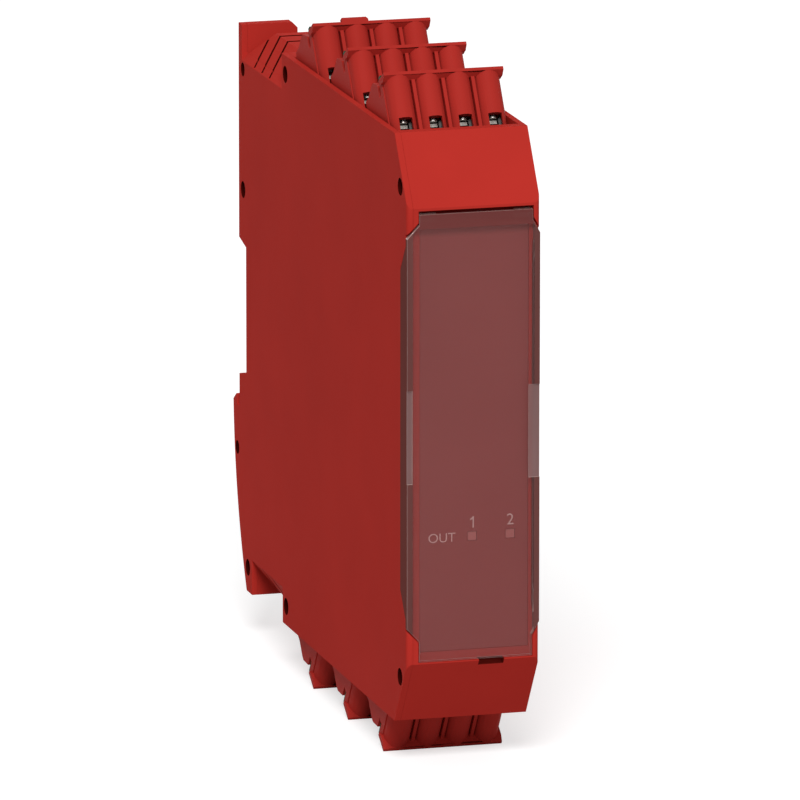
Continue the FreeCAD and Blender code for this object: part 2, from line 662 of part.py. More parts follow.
def seat_plug(body, row, end):
    """Lean a piece drawn upright about its lip, and stand it in its row."""
    depth = value(deep("row_deep + %d*row_pitch" % row))
    half_lean = math.radians(value("plug_tilt") / 2)
    if end > 0:
        turn = FreeCAD.Rotation(FreeCAD.Vector(1, 0, 0), -value("plug_tilt"))
    else:
        turn = FreeCAD.Rotation(FreeCAD.Vector(0, math.cos(half_lean), math.sin(half_lean)), 180)
    body.Placement = FreeCAD.Placement(FreeCAD.Vector(0, depth, end * value("lip_half")), turn)
    bind(body, "Placement.Base.y", deep("row_deep + %d*row_pitch" % row))
    bind(body, "Placement.Base.z", "%d*lip_half" % end)


def finger_loops(gap):
    loops = []
    for side in ("-1*", "1*"):
        far = side + "(plug_width/2 - finger_wall + %s)" % gap
        near = side + "(plug_width/2 - finger_wall - finger_thick - %s)" % gap
        low, high = (far, near) if side == "-1*" else (near, far)
        loops.append(box(low, high, "finger_line - finger_size/2 - " + gap,
                         "finger_line + finger_size/2 + " + gap))
    return loops


def make_plug(label):
    """Plug housing, upright: outer face at Z = 0, lip edge at Y = 0, contact end down."""
    body = new_body(label)
    half = "plug_width/2"
    profile = [
        ("valley", "-plug_long"), ("plug_thick", "-plug_long"), ("plug_thick", "shoulder_rise"),
        ("ridge_end", "shoulder_rise"), ("ridge_peak + 0.9", "ridge_rise"), ("ridge_peak", "ridge_rise"),
        ("ridge_start", "0"), ("valley", "0"),
    ]
    prism(body, "x", [profile], minus(half), "plug_width")
    lip = [("0", "0"), ("0", "-lip_thick"), ("lip_under", "-lip_thick - 0.6"), ("valley", "-lip_thick - 0.6"),
           ("valley + 1", "-lip_thick"), ("valley + 1", "0")]
    prism(body, "x", [lip], "-lip_width/2", "lip_width")
    if label == "plug_top_rear":
        # coding tab on the lip
        tab = [("-tab_left", "-lip_thick/2"), ("-tab_right", "-lip_thick/2"), ("-tab_right", "tab_rise/2"),
               ("-tab_right - tab_rise/2", "tab_rise"), ("-tab_left", "tab_rise")]
        prism(body, "y", [tab], "0", "tab_thick")
    columns = [many_sided(pole(i), "column_radius", "column_radius", 16) for i in range(POLES)]
    prism(body, "z", columns, "-column_long", "column_long")
    ribs = []
    for i in range(POLES - 1):
        middle = "%.1f*pole_pitch" % (i - (POLES - 2) / 2)
        ribs.append(box(middle + " - rib_thick/2", middle + " + rib_thick/2", "rib_front", "valley + 0.5"))
    prism(body, "z", ribs, "-plug_long", "plug_long")
    tongue = box(minus("plug_width/2 - tongue_inset"), "plug_width/2 - tongue_inset",
                 "tongue_front", "plug_thick - tongue_inset")
    prism(body, "z", [tongue], "-plug_long - tongue_long", "tongue_long")
    # screwdriver shafts, clamp chambers and wire windows
    shafts = [many_sided(pole(i), "shaft_in", "shaft_radius", 12) for i in range(POLES)]
    prism(body, "z", shafts, "-chamber_top", "chamber_top", cut=True)
    chambers = []
    windows = []
    slots = []
    for i in range(POLES):
        chambers.append(box(pole(i) + " - chamber_wide/2", pole(i) + " + chamber_wide/2",
                            "-chamber_top - chamber_tall", "-chamber_top"))
        windows.append(box(pole(i) + " - window_wide/2", pole(i) + " + window_wide/2",
                           "-window_top - window_tall", "-window_top"))
        slots.append(box(pole(i) + " - strip_wide/2 - 0.2", pole(i) + " + strip_wide/2 + 0.2",
                         "chamber_back - 0.5", "pin_line + pin_size/2 + pin_grip + strip_thick + 0.2"))
    prism(body, "y", chambers, "chamber_front", "chamber_back - chamber_front", cut=True)
    prism(body, "y", windows, "-1", "chamber_front + 1.5", cut=True)
    end = "plug_long + tongue_long"
    prism(body, "z", slots, minus(end), end + " - chamber_top - 0.8", cut=True)
    # channels for the header's latch fingers, open to the side near their top
    prism(body, "z", finger_loops("0.1"), minus(end), end + " + 1", cut=True)
    for side in (-1, 1):
        mouth = box("finger_line - finger_size/2 - 0.15", "finger_line + finger_size/2 + 0.15",
                    "-finger_mouth", "1")
        start = "-plug_width/2 - 0.5" if side < 0 else "plug_width/2 - finger_wall - 0.5"
        prism(body, "x", [mouth], start, "finger_wall + 1", cut=True)
    return body


def make_screws(label):
    body = new_body(label)
    heads = [many_sided(pole(i), "shaft_in", "screw_head", 8) for i in range(POLES)]
    shanks = [many_sided(pole(i), "shaft_in", "screw_shank", 8) for i in range(POLES)]
    end = "chamber_top + cage_play + cage_wall"
    prism(body, "z", heads, "-screw_sunk - head_tall", "head_tall")
    prism(body, "z", shanks, minus(end), end + " - screw_sunk - head_tall")
    return body


def make_cages(label):
    """Clamp cages: square frames, open front to back, hanging on the screws."""
    body = new_body(label)
    top = "-chamber_top - cage_play"
    loops = []
    for i in range(POLES):
        left, right = pole(i) + " - cage_wide/2", pole(i) + " + cage_wide/2"
        loops.append([(left, top + " - cage_tall"), (right, top + " - cage_tall"),
                      (right, top + " - cage_wall"), (right + " - cage_wall", top),
                      (left + " + cage_wall", top), (left, top + " - cage_wall")])
        loops.append(box(left + " + cage_wall", right + " - cage_wall",
                         top + " - cage_tall + cage_wall", top + " - cage_wall"))
    prism(body, "y", loops, "cage_front", "cage_deep")
    holes = [many_sided(pole(i), "shaft_in", "screw_shank + 0.15", 8) for i in range(POLES)]
    prism(body, "z", holes, "-chamber_top - cage_play - cage_wall", "cage_wall", cut=True)
    return body


def make_contacts(label):
    """Contact strips: a tongue inside each cage and a fork over each header pin."""
    body = new_body(label)
    top = "-chamber_top - cage_play - cage_wall - 0.25"
    low = top + " - strip_thick"
    blade_in = "pin_line - pin_size/2 - pin_grip"
    blade_out = "pin_line + pin_size/2 + pin_grip"
    end = "-plug_long - tongue_long + 0.6"
    profile = [
        ("cage_front + 0.3", low), (blade_in + " - strip_thick", low), (blade_in + " - strip_thick", end),
        (blade_in, end), (blade_in, low), (blade_out, low), (blade_out, end),
        (blade_out + " + strip_thick", end), (blade_out + " + strip_thick", top), ("cage_front + 0.3", top),
    ]
    for i in range(POLES):
        prism(body, "x", [profile], pole(i) + " - strip_wide/2", "strip_wide")
    return body


def make_header(label):
    """Board header, upright like its plug: a tub open towards the plug, with two latch fingers."""
    body = new_body(label)
    floor = "-plug_long - tongue_long - header_play"
    front, back = "tongue_front", "plug_thick - tongue_inset"
    half = "plug_width/2 - tongue_inset"

    def tub(grow):
        return box(minus(half + grow), half + grow, front + " - (0%s)" % grow, back + grow)

    outer = tub(" + header_wall + header_play")
    inner = tub(" + header_play")
    prism(body, "z", [outer], floor + " - header_floor", "tongue_long + header_floor")
    prism(body, "z", [inner], floor, "tongue_long + 1", cut=True)
    holes = [box(pole(i) + " - pin_size/2 - 0.1", pole(i) + " + pin_size/2 + 0.1",
                 "pin_line - pin_size/2 - 0.1", "pin_line + pin_size/2 + 0.1") for i in range(POLES)]
    prism(body, "z", holes, floor + " - header_floor - 0.1", "header_floor + 0.2", cut=True)
    reach = "plug_long + tongue_long + header_play + 0.2 + finger_rise"
    prism(body, "z", finger_loops("0"), floor + " - 0.2", reach)
    return body


def make_pins(label, end):
    """Header pins: up through the floor, then across to the board, each one below the last."""
    body = new_body(label)
    half = "pin_size/2"
    for i in range(POLES):
        # the board is at the left in both ends, so the row's order turns over with it
        place = pole(i) if end > 0 else pole(POLES - 1 - i)
        side = "-1*" if end > 0 else "1*"
        low = "-tail_first - %d*tail_step" % i
        leg = [(place + " - " + half, low), (place + " + " + half, low),
               (place + " + " + half, "-pin_top"), (place + " - " + half, "-pin_top")]
        tail = [(side + "board_face", low), (place, low), (place, low + " + pin_size"),
                (side + "board_face", low + " + pin_size")]
        if end < 0:
            tail = [tail[1], tail[0], tail[3], tail[2]]
        prism(body, "y", [leg], "pin_line - " + half, "pin_size")
        prism(body, "y", [tail], "pin_line - " + half, "pin_size")
    return body


# ---------------------------------------------------------------- boards

def make_main_board():
    body = new_body("main_board")
    shape = [(deep("board_front"), "-board_half"), (deep("board_back"), "-board_half"),
             (deep("board_back"), "board_half"), (deep("board_front"), "board_half")]
    prism(body, "x", [shape], "-board_face - board_thick", "board_thick")
    return body


def make_relay(index):
    body = new_body("relay_%d" % (index + 1))
    step = "(relay_tall + relay_gap)"
    middle = "(%d - (relay_count - 1)/2)*%s" % (index, step)
    shape = box(deep("relay_deep"), deep("relay_deep + relay_long"),
                middle + " - relay_tall/2", middle + " + relay_tall/2")
    prism(body, "x", [shape], "-board_face", "relay_high")
    rim = box(deep("relay_deep - 0.4"), deep("relay_deep + relay_long + 0.4"),
              middle + " - relay_tall/2 - 0.3", middle + " + relay_tall/2 + 0.3")
    prism(body, "x", [rim], "-board_face", "2")
    return body


def make_logic_chips():
    body = new_body("logic_chips")
    loops = []
    for middle in ("12", "-12"):
        loops.append(box(deep("chip_deep"), deep("chip_deep + chip_side"),
                         middle + " - chip_side/2", middle + " + chip_side/2"))
    prism(body, "x", loops, "-board_face", "chip_tall")
    return body


def make_capacitors():
    body = new_body("capacitors")
    loops = [many_sided(deep("can_deep"), middle, "can_radius", 16) for middle in ("12", "0", "-12")]
    prism(body, "x", loops, "-board_face", "can_tall")
    return body


# ---------------------------------------------------------------- back

def bus_place(index):
    return "(%d - (bus_count - 1)/2)*bus_pitch" % index


def make_bus_socket():
    body = new_body("bus_socket")
    back = "-notch_in - 0.3"
    outline = box("-bus_wide/2", "bus_wide/2", "-bus_half", "bus_half")
    prism(body, "y", [outline], back + " - bus_long", "bus_long")
    slits = []
    for i in range(int(value("bus_count"))):
        slits.append(box("-bus_wide/2 - 0.1", "bus_wide/2 - 1", bus_place(i) + " - bus_slit/2",
                         bus_place(i) + " + bus_slit/2"))
    prism(body, "y", slits, back + " - bus_long - 0.1", "bus_long + 0.2", cut=True)
    return body


def make_bus_contacts():
    body = new_body("bus_contacts")
    back = "-notch_in - 0.6"
    plate = [("-board_face", back + " - bus_long + 2"), ("bus_wide/2 - 1.5", back + " - bus_long + 2"),
             ("bus_wide/2 - 1.5", back), ("1", back), ("1", back + " - 4"), ("-1", back + " - 4"),
             ("-1", back), ("-bus_wide/2 + 1", back), ("-bus_wide/2 + 1", back + " - bus_long + 4.5"),
             ("-board_face", back + " - bus_long + 4.5")]
    for i in range(int(value("bus_count"))):
        prism(body, "z", [plate], bus_place(i) + " - bus_blade/2", "bus_blade")
    return body


def make_foot_catch():
    body = new_body("foot_catch")
    seat = "rail_tall/2 + rail_play"
    bar_back = "-catch_bar_back"
    lip = "rail_flange + rail_play"
    profile = [
        (bar_back + " - catch_bar", "-catch_end"), (bar_back, "-catch_end"),
        (bar_back, minus(seat + " + catch_arm")), ("foot_reach - 0.9", minus(seat + " + catch_arm")),
        ("foot_reach - 0.4", minus(seat)), (lip + " + 0.9", minus(seat) + " + foot_lip + 0.6"),
        (lip, minus(seat) + " + foot_lip + 0.6"), (lip, minus(seat)),
        (bar_back + " - catch_bar", minus(seat)),
    ]
    prism(body, "x", [profile], "-catch_half", "2*catch_half")
    driver_slot = box("-2.5", "2.5", "-catch_end + 2", "-catch_end + 3.6")
    prism(body, "y", [driver_slot], bar_back + " - catch_bar - 0.1", "catch_bar + 0.2", cut=True)
    return body


def make_catch_spring():
    """Flat strip spring folded to and fro, standing on its ledge."""
    body = new_body("catch_spring")
    near, far = "-spring_back - spring_deep", "-spring_back"
    folds = 6
    rise = "(spring_tall - spring_strip)/%d" % folds
    base = minus("rail_tall/2 + rail_play + catch_arm + spring_tall")
    front, back = [(near, base)], [(far, base)]
    for i in range(folds):
        low = "%s + %d*%s + spring_strip" % (base, i, rise)
        high = "%s + %d*%s" % (base, i + 1, rise)
        if i % 2 == 0:
            turn = far + " - spring_strip"
            front += [(near, low), (turn, low), (turn, high), (near, high)]
        else:
            turn = near + " + spring_strip"
            back += [(far, low), (turn, low), (turn, high), (far, high)]
    tip = minus("rail_tall/2 + rail_play + catch_arm")
    front.append((near, tip))
    back.append((far, tip))
    prism(body, "x", [front + back[::-1]], "-spring_wide/2", "spring_wide")
    return body


# ---------------------------------------------------------------- build

def build():
    bodies = [make_housing(), make_side_cover(), make_front_cover(), make_front_plate(),
              make_light_guides(), make_lights(), make_light_board(), make_main_board(),
              make_logic_chips(), make_capacitors(), make_bus_socket(), make_bus_contacts(),
              make_foot_catch(), make_catch_spring()]
    bodies += [make_relay(i) for i in range(int(value("relay_count")))]
    for end, side in ((1, "top"), (-1, "bottom")):
        for row, word in enumerate(ROWS):
            place = "%s_%s" % (side, word)
            group = [make_plug("plug_" + place), make_screws("screws_" + place),
                     make_cages("cages_" + place), make_contacts("contacts_" + place),
                     make_header("header_" + place), make_pins("pins_" + place, end)]
            for body in group:
                seat_plug(body, row, end)
            bodies += group
    doc.recompute()
    return bodies


def check_and_write(bodies):
    for thing in doc.Objects:
        if "Invalid" in thing.State or "Error" in thing.State:
            raise RuntimeError("%s did not build: %s" % (thing.Label, thing.State))
    for body in bodies:
        if body.Shape.isNull() or not body.Shape.isValid() or not body.Shape.Solids:
            raise RuntimeError("%s has no valid solid" % body.Label)
    os.makedirs("parts", exist_ok=True)
    for body in bodies:
        body.Shape.exportStep(os.path.join("parts", body.Label + ".step"))


check_and_write(build())
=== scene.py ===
"""Dresses a rail-mounted safety relay: moulded red case, plug-in terminals, clear front cover."""

import json
import math

import bmesh
import bpy
from mathutils import Matrix, Vector

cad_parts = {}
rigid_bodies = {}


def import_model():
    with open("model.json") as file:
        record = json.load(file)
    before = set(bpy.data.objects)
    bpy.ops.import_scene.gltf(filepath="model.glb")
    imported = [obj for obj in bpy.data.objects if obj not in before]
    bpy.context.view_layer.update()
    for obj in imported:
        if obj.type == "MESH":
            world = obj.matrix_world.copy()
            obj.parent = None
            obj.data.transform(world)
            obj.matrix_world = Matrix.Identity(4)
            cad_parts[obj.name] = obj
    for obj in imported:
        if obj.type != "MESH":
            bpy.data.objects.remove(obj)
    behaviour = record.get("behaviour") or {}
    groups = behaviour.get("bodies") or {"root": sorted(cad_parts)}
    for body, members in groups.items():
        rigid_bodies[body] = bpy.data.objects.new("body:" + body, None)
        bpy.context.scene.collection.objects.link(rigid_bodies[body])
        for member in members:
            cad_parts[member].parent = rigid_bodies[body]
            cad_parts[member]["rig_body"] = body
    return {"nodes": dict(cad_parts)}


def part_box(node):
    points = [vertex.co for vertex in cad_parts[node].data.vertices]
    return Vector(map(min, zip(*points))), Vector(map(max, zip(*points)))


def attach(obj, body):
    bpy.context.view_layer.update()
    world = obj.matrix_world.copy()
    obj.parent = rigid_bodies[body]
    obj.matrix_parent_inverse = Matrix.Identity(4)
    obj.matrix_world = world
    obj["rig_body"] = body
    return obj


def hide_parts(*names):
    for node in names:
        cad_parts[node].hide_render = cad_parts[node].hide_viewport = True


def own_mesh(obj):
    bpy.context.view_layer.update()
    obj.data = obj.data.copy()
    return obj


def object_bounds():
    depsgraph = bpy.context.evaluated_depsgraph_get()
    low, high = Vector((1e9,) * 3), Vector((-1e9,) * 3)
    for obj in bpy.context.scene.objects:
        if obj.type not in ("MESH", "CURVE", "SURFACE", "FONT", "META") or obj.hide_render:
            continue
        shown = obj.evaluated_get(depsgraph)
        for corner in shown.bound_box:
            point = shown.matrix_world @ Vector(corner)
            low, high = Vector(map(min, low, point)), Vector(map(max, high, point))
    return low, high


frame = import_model()
CAD_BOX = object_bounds()

bl_info = {
    "name": "Safety relay dresser",
    "version": (1, 0, 0),
    "blender": (4, 5, 0),
    "location": "3D View > Sidebar > Relay",
    "description": "Finishes for a narrow rail-mounted safety relay with plug-in terminals",
    "category": "Object",
}

ENDS = ("top", "bottom")
ROWS = ("front", "middle", "rear")
POLES = 4
RELAYS = 4

# (y, z) of the two holes in the side wall that hold no peg
BLIND_HOLES = ((-0.0028, 0.0418), (0.0014, -0.0254))
# corners of a box round the pry notch under the cover
NOTCH_BOX = (Vector((0.0009, -0.1069, -0.0392)), Vector((0.0054, -0.1050, -0.0376)))
# share of a normal from which a face counts as facing along an axis
FACING = 0.9
# share of a normal under which a face belongs to a rounded edge
ROUNDED = 0.97
# how far behind the cover's front its band and its front edges reach
BAND_DEPTH = 0.001
EDGE_DEPTH = 0.004
# the finger grips lie between these depths behind the cover's front
GRIP_DEPTHS = (0.00015, 0.0003)
# a blind hole's radius as a share of a peg hole's
BLIND_SHARE = 0.86
# areas that tell a peg's end, a hole's floor and a hole's wall from other faces
PEG_END = 2.0e-6
HOLE_FLOOR = 1.2e-5
HOLE_WALL = 1.0e-6
# a screw's shank and driver slot, as shares of its head
SHANK_SHARE = 0.66
SHANK_LENGTH = 0.0032
SLOT_WIDE, SLOT_LONG, SLOT_DEEP = 0.34, 2.4, 0.8
# the angle in degrees from which an edge is shaded sharp
SHARP = 40.0
# the middle part of a noise pattern, which its colours and numbers are spread over
PATTERN_LOW, PATTERN_HIGH = 0.3, 0.7
# half the thickness of the printed ink, a capital's share of its letter size, and how
# much thinner the printed strokes are than the letters'
INK = 0.00003
CAPITAL = 0.72
THINNER = 0.00002
# the light of the floor and the backdrop
WHITE = (1.0, 1.0, 1.0, 1.0)
# the view's middle, lens and shift, and the direction that the main light comes from
VIEW_MIDDLE = Vector((0.0, -0.050, 0.0))
LENS = 534.6
SHIFT = (0.0246, -0.0479)
SUN_FROM = Vector((-0.165, -0.50, 0.506))


# ---------------------------------------------------------------- settings

def length(label, note, default):
    """A size in metres, shown with its unit."""
    return bpy.props.FloatProperty(
        name=label, description=note, default=default, min=0.0, precision=5, unit="LENGTH")


def turn_angle(label, note, degrees):
    """An angle, given in degrees."""
    return bpy.props.FloatProperty(
        name=label, description=note, default=math.radians(degrees), subtype="ANGLE")


def power(label, note, default):
    """The strength of a light."""
    return bpy.props.FloatProperty(name=label, description=note, default=default, min=0.0)


def colour(label, note, default):
    """A linear colour."""
    return bpy.props.FloatVectorProperty(
        name=label, description=note, default=default, size=3, min=0.0, max=1.0, subtype="COLOR")


def share(label, note, default):
    """A number from 0 to 1."""
    return bpy.props.FloatProperty(
        name=label, description=note, default=default, min=0.0, max=1.0, subtype="FACTOR")


class RelayCaseSettings(bpy.types.PropertyGroup):
    """Sizes and colours of the case, its side wall and its rail side"""
    red: colour("Case red", "Colour of the moulded case", (0.47, 0.030, 0.022))
    roughness: share("Roughness", "Roughness of the moulded faces", 0.6)
    shine: share("Shine", "Specular level of the moulded faces", 0.008)
    edge: length("Edge rounding", "Rounding of the moulded edges", 0.00022)
    # painted shade: the dark colour inside the peg holes and on the vent slots' walls stands in for
    # the shade that falls there
    shade: colour("Hole shade", "Colour of the plastic inside the peg holes",
                  (0.045, 0.003, 0.002))
    # painted shadow: the dark colour in the pry notch stands in for the cover's shadow on it
    notch: colour("Notch shade", "Colour of the plastic inside the pry notch",
                  (0.125, 0.009, 0.006))
    hole: length("Peg hole", "Radius of a peg hole", 0.0014)
    sunk: length("Peg depth", "How far a peg's end lies below the side", 0.0008)
    vents_from: bpy.props.FloatProperty(
        name="Vents from", description="Front end of the vented corners", default=-0.021,
        unit="LENGTH")
    vents_above: length("Vents above", "Inner end of the vented corners", 0.0415)
    catch_edge: length("Catch edge rounding", "Rounding of the foot catch's edges", 0.0002)
    catch_travel: length("Catch travel", "How far the foot catch is drawn down", 0.003)
    spring_edge: length("Spring edge rounding", "Rounding of the strip spring's edges", 0.00003)


class RelayTerminalSettings(bpy.types.PropertyGroup):
    """Sizes and colours of the terminal plugs and their screws"""
    red: colour("Plug red", "Colour of the terminal plugs", (0.42, 0.029, 0.022))
    green: colour("Header green", "Colour of the board headers", (0.012, 0.060, 0.030))
    pole_pitch: length("Pole pitch", "Distance from screw to screw", 0.00508)
    lean: turn_angle("Lean", "Lean of the plugs", 34.0)
    edge: length("Edge rounding", "Rounding of the plugs' edges", 0.00014)
    head_radius: length("Head radius", "Radius of a screw head", 0.00145)
    head_height: length("Head height", "Height of a screw head", 0.0017)
    head_sunk: length("Head depth", "Screw head below the outer face", 0.0036)
    head_play: length("Head play", "Gap between a screw head and its shaft", 0.00002)
    shaft_in: length("Shaft in", "Screw's axis behind the plug's outer edge", 0.00235)


class RelayFrontSettings(bpy.types.PropertyGroup):
    """Sizes and colours of the front plate, its print and the clear cover"""
    haze: colour("Cover tint", "Colour of the clear cover's haze", (0.26, 0.105, 0.100))
    veil: share("Cover haze", "How much the clear cover veils what lies behind it", 0.22)
    cover_edge: length("Cover edge rounding", "Rounding of the cover's edges", 0.00015)
    # painted shade: the flank tints are the cover's smoky plastic made nearly opaque and dark,
    # standing in for the shaded inside seen through the side flanks; one tint for the faces turned
    # sideways, one for the rest
    flank: colour("Flank tint", "Colour of the cover's side flanks from the front",
                  (0.15, 0.055, 0.050))
    flank_side_shade: colour("Flank side tint", "Colour of the cover's side flanks from the side",
                       (0.152, 0.024, 0.017))
    flank_veil: share("Flank haze", "How much a side flank veils what lies behind it", 0.985)
    flank_width: length("Flank width", "Width of the cover's side flanks", 0.00095)
    band: colour("Band tint", "Colour of the band above the plate", (0.180, 0.043, 0.040))
    band_veil: share("Band haze", "How much that band veils what lies behind it", 0.85)
    grip: colour("Grip tint", "Colour of the finger grips", (0.28, 0.145, 0.140))
    grip_veil: share("Grip haze", "How much a finger grip veils what lies behind it", 0.7)
    grip_half: length("Grip half height", "Half the height of a finger grip", 0.008)
    # painted highlight: the pale edge tint stands in for the glints on the cover's rounded edges,
    # beside their real gloss
    rim_highlight: colour("Edge tint", "Colour of the cover's rounded edges", (0.50, 0.34, 0.31))
    rim_highlight_veil: share("Edge haze", "How much an edge veils what lies behind it", 0.9)
    plate: colour("Plate colour", "Colour of the printed front plate", (0.33, 0.056, 0.053))
    ink: colour("Ink", "Colour of the printed numbers", (0.80, 0.53, 0.51))
    light: colour("Light guide", "Colour of the unlit light guides", (0.56, 0.17, 0.16))
    figure_height: length("Figure height", "Height of the printed numbers", 0.00195)
    figure_above: length("Figure above", "Numbers above the lights' middle", 0.00235)
    word_height: length("Word height", "Height of the printed word", 0.0016)
    word_beside: length("Word beside", "Printed word beside the first light", 0.0052)
    word_below: length("Word below", "Printed word below the lights' middle", 0.0001)


class RelayStageSettings(bpy.types.PropertyGroup):
    """Places and strengths of the camera, the lamp and the floor"""
    azimuth: turn_angle("Azimuth", "Camera's turn about the upright", -15.54)
    elevation: turn_angle("Elevation", "Camera's height angle", 12.52)
    distance: length("Distance", "Camera's distance from the part", 2.0)
    sun: power("Sun", "Strength of the main lamp", 2.3)
    sun_spread: turn_angle("Sun spread", "Width of the main lamp, which softens its shadow", 22.0)
    sky: power("Sky", "Strength of the soft light all round", 0.36)
    floor: share("Floor", "How pale the floor is to the light on it", 0.55)
    floor_glow: share("Floor glow", "White added where the floor is seen", 0.62)
    floor_half: length("Floor half", "Half the length of the floor", 6.0)


# ---------------------------------------------------------------- helpers

def link(tree, source, target):
    """Joins two sockets."""
    tree.links.new(source, target)


def new_material(name):
    """An empty material with one Principled shader."""
    material = bpy.data.materials.new(name)
    material.use_nodes = True
    tree = material.node_tree
    tree.nodes.clear()
    out = tree.nodes.new("ShaderNodeOutputMaterial")
    shader = tree.nodes.new("ShaderNodeBsdfPrincipled")
    link(tree, shader.outputs["BSDF"], out.inputs["Surface"])
    return material, tree, shader


def object_pattern(tree, scale, detail=3.0, stretch=(1.0, 1.0, 1.0)):
    """Noise over the piece's own coordinates; scale is in repeats per metre."""
    place = tree.nodes.new("ShaderNodeTexCoord")
    mapping = tree.nodes.new("ShaderNodeMapping")
    mapping.inputs["Scale"].default_value = stretch
    noise = tree.nodes.new("ShaderNodeTexNoise")
    noise.inputs["Scale"].default_value = scale
    noise.inputs["Detail"].default_value = detail
    link(tree, place.outputs["Object"], mapping.inputs["Vector"])
    link(tree, mapping.outputs["Vector"], noise.inputs["Vector"])
    return noise.outputs["Fac"]


def tint(tree, pattern, colour_value, spread):
    """Colour that wavers a little either side of the given one."""
    ramp = tree.nodes.new("ShaderNodeValToRGB")
    ramp.color_ramp.elements[0].position = PATTERN_LOW
    ramp.color_ramp.elements[1].position = PATTERN_HIGH
    low = [c * (1.0 - spread) for c in colour_value]
    high = [min(1.0, c * (1.0 + spread)) for c in colour_value]
    ramp.color_ramp.elements[0].color = (*low, 1.0)
    ramp.color_ramp.elements[1].color = (*high, 1.0)
    link(tree, pattern, ramp.inputs["Fac"])
    return ramp.outputs["Color"]


def span(tree, pattern, low, high):
    """Maps a pattern onto a range of numbers."""
    remap = tree.nodes.new("ShaderNodeMapRange")
    remap.inputs["From Min"].default_value = PATTERN_LOW
    remap.inputs["From Max"].default_value = PATTERN_HIGH
    remap.inputs["To Min"].default_value = low
    remap.inputs["To Max"].default_value = high
    link(tree, pattern, remap.inputs["Value"])
    return remap.outputs["Result"]


def relief(tree, shader, pattern, height):
    """Raises the surface by a pattern, up to height."""
    bump = tree.nodes.new("ShaderNodeBump")
    bump.inputs["Strength"].default_value = 1.0
    bump.inputs["Distance"].default_value = height
    link(tree, pattern, bump.inputs["Height"])
    link(tree, bump.outputs["Normal"], shader.inputs["Normal"])


def moulded(name, colour_value, roughness=0.55, grain=5200.0, depth=0.000003, spread=0.05,
            coat=0.0, shine=0.03):
    """Satin moulded plastic: slow colour drift, fine spark-eroded grain, uneven sheen."""
    material, tree, shader = new_material(name)
    drift = object_pattern(tree, 45.0, 4.0)
    fine = object_pattern(tree, grain, 2.0)
    link(tree, tint(tree, drift, colour_value, spread), shader.inputs["Base Color"])
    link(tree, span(tree, fine, roughness - 0.05, roughness + 0.06), shader.inputs["Roughness"])
    relief(tree, shader, fine, depth)
    shader.inputs["IOR"].default_value = 1.49
    shader.inputs["Specular IOR Level"].default_value = shine
    shader.inputs["Coat Weight"].default_value = coat
    return material


def plated(name, colour_value, roughness=0.28, stretch=(1.0, 1.0, 0.08)):
    """Plated metal with faint drawing lines."""
    material, tree, shader = new_material(name)
    lines = object_pattern(tree, 3800.0, 3.0, stretch)
    link(tree, tint(tree, lines, colour_value, 0.06), shader.inputs["Base Color"])
    link(tree, span(tree, lines, roughness - 0.07, roughness + 0.1), shader.inputs["Roughness"])
    relief(tree, shader, lines, 0.000006)
    shader.inputs["Metallic"].default_value = 1.0
    return material


def seen_rays(tree):
    """1 for rays that see the backdrop: straight, mirrored or through clear plastic."""
    rays = tree.nodes.new("ShaderNodeLightPath")
    total = rays.outputs["Is Camera Ray"]
    for kind in ("Is Glossy Ray", "Is Transmission Ray"):
        either = tree.nodes.new("ShaderNodeMath")
        either.operation = "MAXIMUM"
        link(tree, total, either.inputs[0])
        link(tree, rays.outputs[kind], either.inputs[1])
        total = either.outputs[0]
    return total


def dress(node, material):
    """Gives a CAD node, as it stands, one material."""
    thing = frame["nodes"][node]
    thing.data.materials.clear()
    thing.data.materials.append(material)
    for face in thing.data.polygons:
        face.use_smooth = False
    return thing


def in_scene(name, data):
    """A new object in the scene."""
    thing = bpy.data.objects.new(name, data)
    bpy.context.scene.collection.objects.link(thing)
    return thing


def new_piece(name, mesh, body, material=None):
    """An object of the visual model that moves with a body."""
    piece = in_scene(name, mesh)
    if material is not None:
        mesh.materials.clear()
        mesh.materials.append(material)
    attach(piece, body)
    return piece


def rounded_copy(node, name, width, material, angle=0.55):
    """A merged copy of a CAD node with its sharp edges rounded, standing for the node."""
    mesh = frame["nodes"][node].data.copy()
    mesh.name = name
    work = bmesh.new()
    work.from_mesh(mesh)
    bmesh.ops.remove_doubles(work, verts=work.verts, dist=1e-6)
    bmesh.ops.dissolve_limit(work, angle_limit=math.radians(1.0), verts=work.verts,
                             edges=work.edges, use_dissolve_boundaries=False)
    work.to_mesh(mesh)
    work.free()
    mesh.materials.clear()
    mesh.materials.append(material)
    piece = in_scene(name, mesh)
    bevel = piece.modifiers.new("Rounding", "BEVEL")
    bevel.width = width
    bevel.segments = 2
    bevel.limit_method = "ANGLE"
    bevel.angle_limit = angle
    bevel.use_clamp_overlap = True
    bake(piece)
    even_shading(piece)
    piece.data.name = name
    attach(piece, body_of(node))
    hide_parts(node)
    return piece


def finished_mesh(thing):
    """The mesh that an object makes, with its modifiers applied."""
    bpy.context.view_layer.update()
    graph = bpy.context.evaluated_depsgraph_get()
    return bpy.data.meshes.new_from_object(thing.evaluated_get(graph))


def bake(piece):
    """Keeps what the piece's modifiers make as its mesh, and drops the modifiers."""
    made = finished_mesh(piece)
    piece.modifiers.clear()
    piece.data = made


def even_shading(piece):
    """Smooth shading that keeps flats flat and turns many-sided columns round."""
    for face in piece.data.polygons:
        face.use_smooth = True
    piece.data.set_sharp_from_angle(angle=math.radians(SHARP))
    even = piece.modifiers.new("Even normals", "WEIGHTED_NORMAL")
    even.keep_sharp = True
    bake(piece)


def body_of(node):
    """The body that a CAD node moves with."""
    return frame["nodes"][node]["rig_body"]


